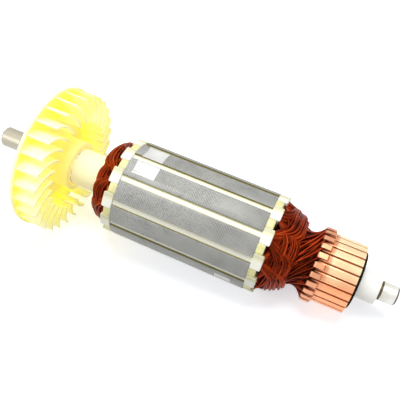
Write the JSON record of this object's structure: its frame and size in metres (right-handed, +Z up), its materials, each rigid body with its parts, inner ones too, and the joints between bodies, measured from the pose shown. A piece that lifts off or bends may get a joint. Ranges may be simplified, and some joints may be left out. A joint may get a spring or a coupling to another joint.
{
  "type": "wound motor armature",
  "caption": "Wound armature with slotted laminated core, hook commutator, moulded cooling fan and a stepped steel shaft.",
  "frame": {"origin": "centre of the shaft's end face at the fan end", "axes": "+X along the shaft from the fan end to the commutator end, +Z up through a core slot"},
  "size_m": [0.182, 0.064, 0.064],
  "materials": {
    "shaft_steel": "ground steel",
    "fan_plastic": "slightly translucent moulded nylon",
    "sleeve_plastic": "ivory moulded insulation",
    "lamination_steel": "stacked laminations, turned on the outside",
    "insulator_plastic": "pale yellow moulding",
    "slot_paper": "cream insulating paper",
    "enamelled_wire": "dark red enamel over copper",
    "copper": "turned copper",
    "phenolic": "dark moulding compound"
  },
  "bodies": {
    "root": {"shaft": "shaft_steel", "fan": "fan_plastic", "insulating_sleeve": "sleeve_plastic", "lamination_stack": "lamination_steel", "end_insulator_fan_side": "insulator_plastic", "end_insulator_commutator_side": "insulator_plastic", "slot_liners": "slot_paper", "slot_wedge_01": "slot_paper", "slot_wedge_02": "slot_paper", "slot_wedge_03": "slot_paper", "slot_wedge_04": "slot_paper", "slot_wedge_05": "slot_paper", "slot_wedge_06": "slot_paper", "slot_wedge_07": "slot_paper", "slot_wedge_08": "slot_paper", "slot_wedge_09": "slot_paper", "slot_wedge_10": "slot_paper", "slot_wedge_11": "slot_paper", "slot_wedge_12": "slot_paper", "coil_01": "enamelled_wire", "coil_02": "enamelled_wire", "coil_03": "enamelled_wire", "coil_04": "enamelled_wire", "coil_05": "enamelled_wire", "coil_06": "enamelled_wire", "coil_07": "enamelled_wire", "coil_08": "enamelled_wire", "coil_09": "enamelled_wire", "coil_10": "enamelled_wire", "coil_11": "enamelled_wire", "coil_12": "enamelled_wire", "commutator_bar_01": "copper", "commutator_bar_02": "copper", "commutator_bar_03": "copper", "commutator_bar_04": "copper", "commutator_bar_05": "copper", "commutator_bar_06": "copper", "commutator_bar_07": "copper", "commutator_bar_08": "copper", "commutator_bar_09": "copper", "commutator_bar_10": "copper", "commutator_bar_11": "copper", "commutator_bar_12": "copper", "commutator_bar_13": "copper", "commutator_bar_14": "copper", "commutator_bar_15": "copper", "commutator_bar_16": "copper", "commutator_bar_17": "copper", "commutator_bar_18": "copper", "commutator_bar_19": "copper", "commutator_bar_20": "copper", "commutator_bar_21": "copper", "commutator_bar_22": "copper", "commutator_bar_23": "copper", "commutator_bar_24": "copper", "commutator_moulding": "phenolic"}
  },
  "joints": []
}
